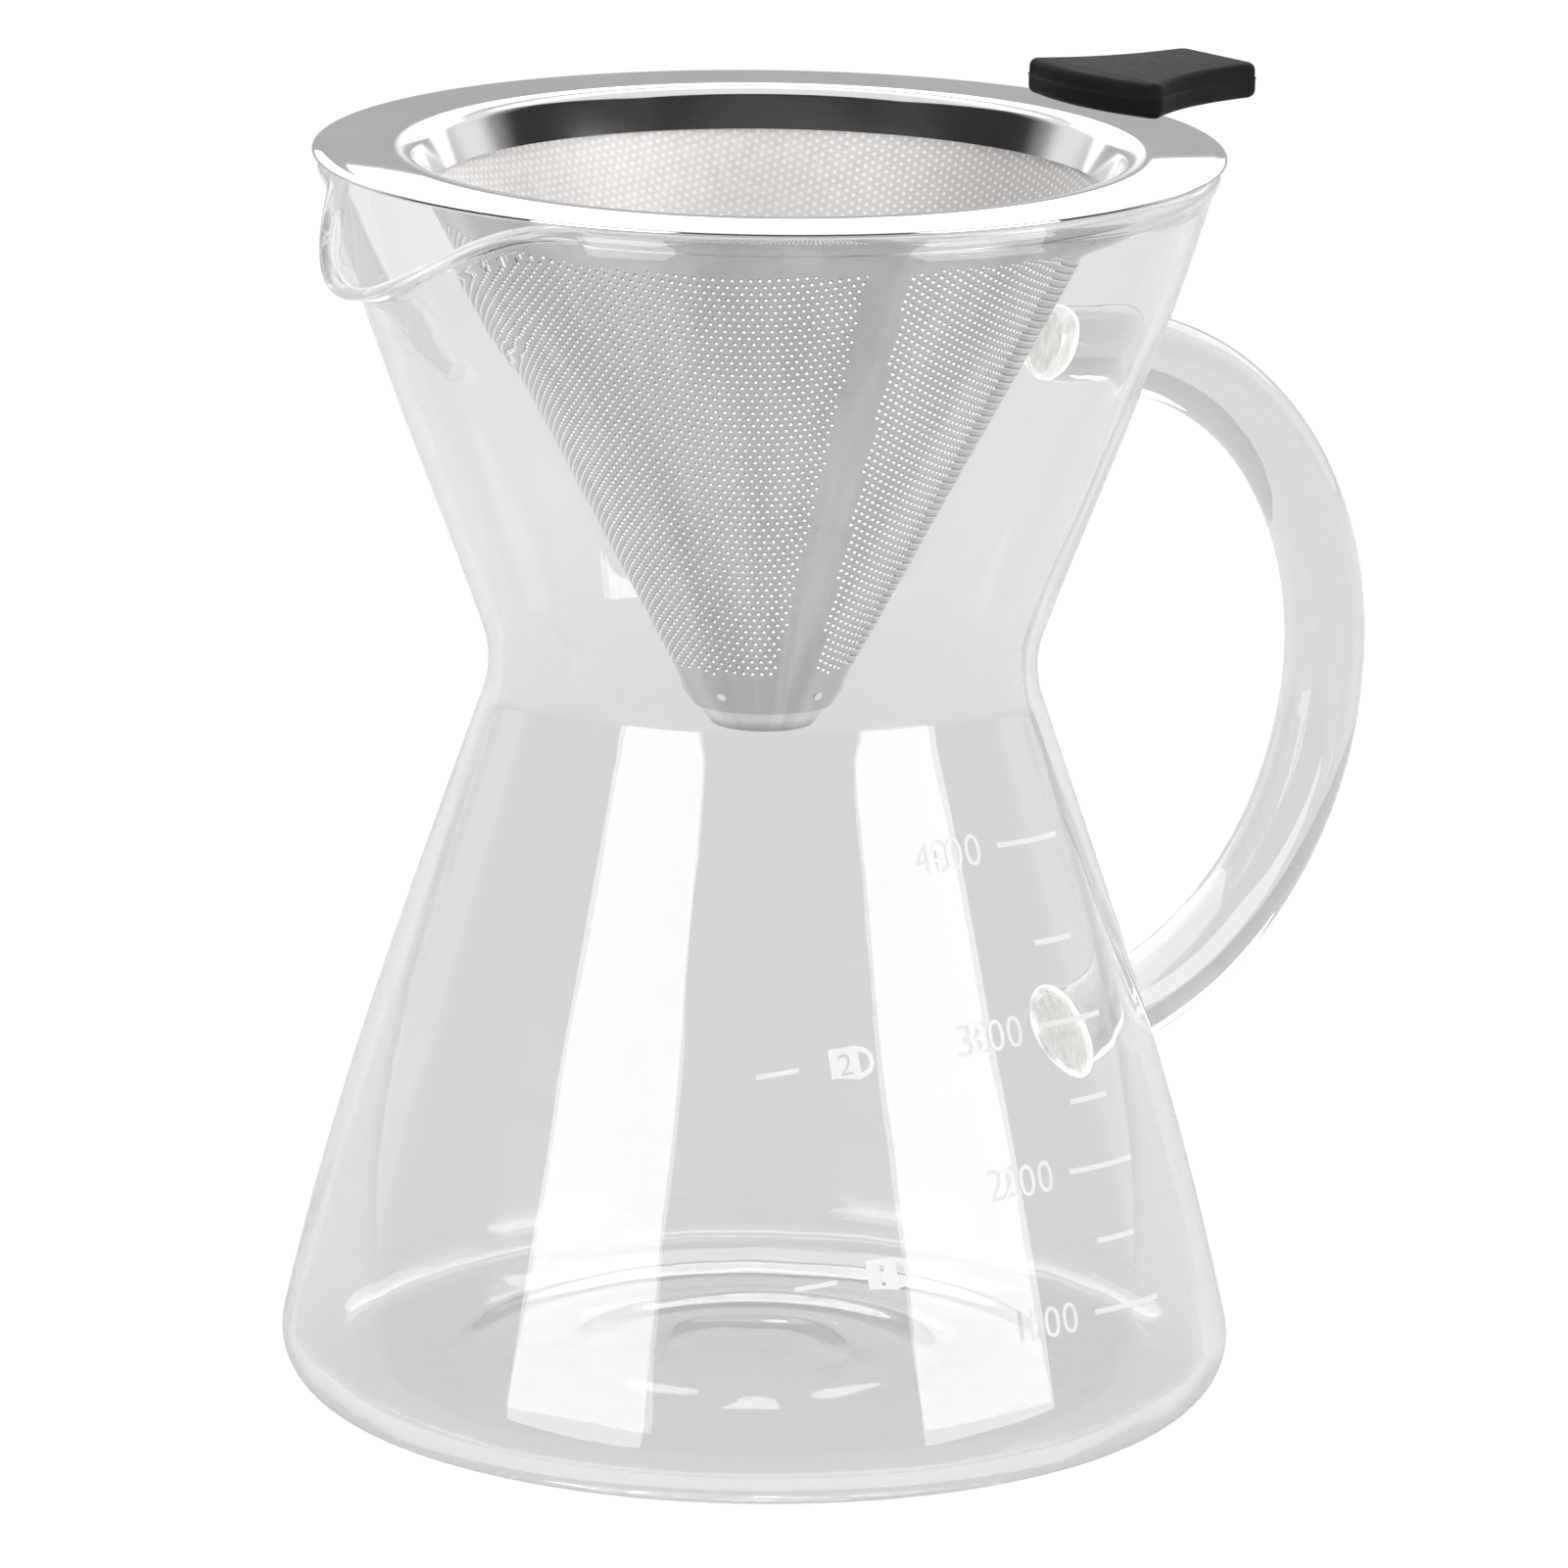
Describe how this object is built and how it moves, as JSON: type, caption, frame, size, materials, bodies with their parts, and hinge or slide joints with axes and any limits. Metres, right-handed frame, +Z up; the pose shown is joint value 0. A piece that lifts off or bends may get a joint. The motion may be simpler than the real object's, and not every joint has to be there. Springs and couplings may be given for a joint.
{
  "type": "coffee server carafe",
  "caption": "Hourglass glass coffee server with a pouring spout, a fused glass rod handle, printed volume marks and a lift-out steel cone filter with a silicone grip.",
  "frame": {"origin": "centre of the foot of the glass, on the axis of the carafe, in the plane it stands on", "axes": "+Z up along the carafe's axis, +X towards the handle and the filter's grip, -X towards the spout, -Y the side with the printed millilitre marks"},
  "size_m": [0.146, 0.1066, 0.1448],
  "materials": {
    "glass": "clear blown borosilicate, gloss",
    "fused_glass": "clear glass worked in the flame, with folds and small bubbles",
    "enamel": "fired white print",
    "polished_steel": "polished",
    "perforated_steel": "satin, perforated",
    "woven_steel": "fine weave, matte",
    "silicone": "matte"
  },
  "bodies": {
    "carafe": {"glass_body": "glass", "handle_rod": "glass", "upper_handle_joint": "fused_glass", "lower_handle_joint": "fused_glass", "millilitre_marks": "enamel", "cup_marks": "enamel"},
    "filter": {"filter_brim": "polished_steel", "outer_cone": "perforated_steel", "inner_mesh_cone": "woven_steel", "tip_cup": "perforated_steel", "tip_welds": "perforated_steel", "collar_welds": "perforated_steel", "tab_tongue": "polished_steel", "tongue_welds": "polished_steel", "silicone_grip": "silicone"}
  },
  "joints": [
    {"name": "filter_lift", "type": "slide", "parent": "carafe", "child": "filter", "axis": [0, 0, 1], "range_m": [0, 0.09]}
  ]
}
